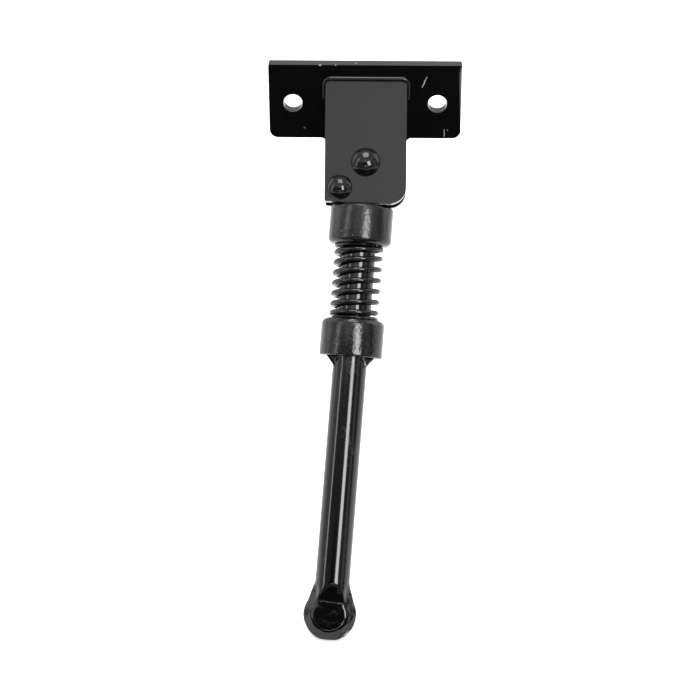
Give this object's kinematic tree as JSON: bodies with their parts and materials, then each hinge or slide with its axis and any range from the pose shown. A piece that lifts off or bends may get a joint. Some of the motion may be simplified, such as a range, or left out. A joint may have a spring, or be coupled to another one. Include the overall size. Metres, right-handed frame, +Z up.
{
  "type": "electric scooter kickstand",
  "caption": "Electric scooter kickstand: bent T plate, welded front ear, riveted swing leg with flat foot and a spring-loaded collar",
  "frame": {"origin": "middle of the bolt-hole pair on the back face of the mounting plate", "axes": "+X to the right seen from the front, -Y to the front, +Z up along the mounting plate; the leg hangs forward and down"},
  "size_m": [0.0666, 0.1094, 0.1682],
  "materials": {
    "plate_paint": "gloss black paint on steel",
    "ear_paint": "gloss black paint on steel",
    "bead_paint": "gloss black paint on steel",
    "rivet_paint": "gloss black paint on steel",
    "leg_paint": "gloss black paint on steel",
    "collar_paint": "gloss black paint on steel",
    "spring_paint": "gloss black paint on steel"
  },
  "bodies": {
    "bracket": {"mounting_plate": "plate_paint", "front_ear": "ear_paint", "weld_bead": "bead_paint", "pivot_rivet": "rivet_paint", "stop_rivet": "rivet_paint"},
    "swing_leg": {"leg": "leg_paint", "lower_collar": "collar_paint", "spring": "spring_paint"},
    "cam_collar": {"upper_collar": "collar_paint"}
  },
  "joints": [
    {"name": "leg_swing", "type": "hinge", "parent": "bracket", "child": "swing_leg", "pos_m": [0.0004, -0.01384, -0.01892], "axis": [0, -0.8192, 0.5736], "range_deg": [0, 94]},
    {"name": "collar_slide", "type": "slide", "parent": "swing_leg", "child": "cam_collar", "axis": [-0.0698, -0.5722, -0.8172], "range_m": [0, 0.0039], "stiffness_N_per_m": 8300, "springref_m": -0.008, "deforming": ["spring"]}
  ]
}
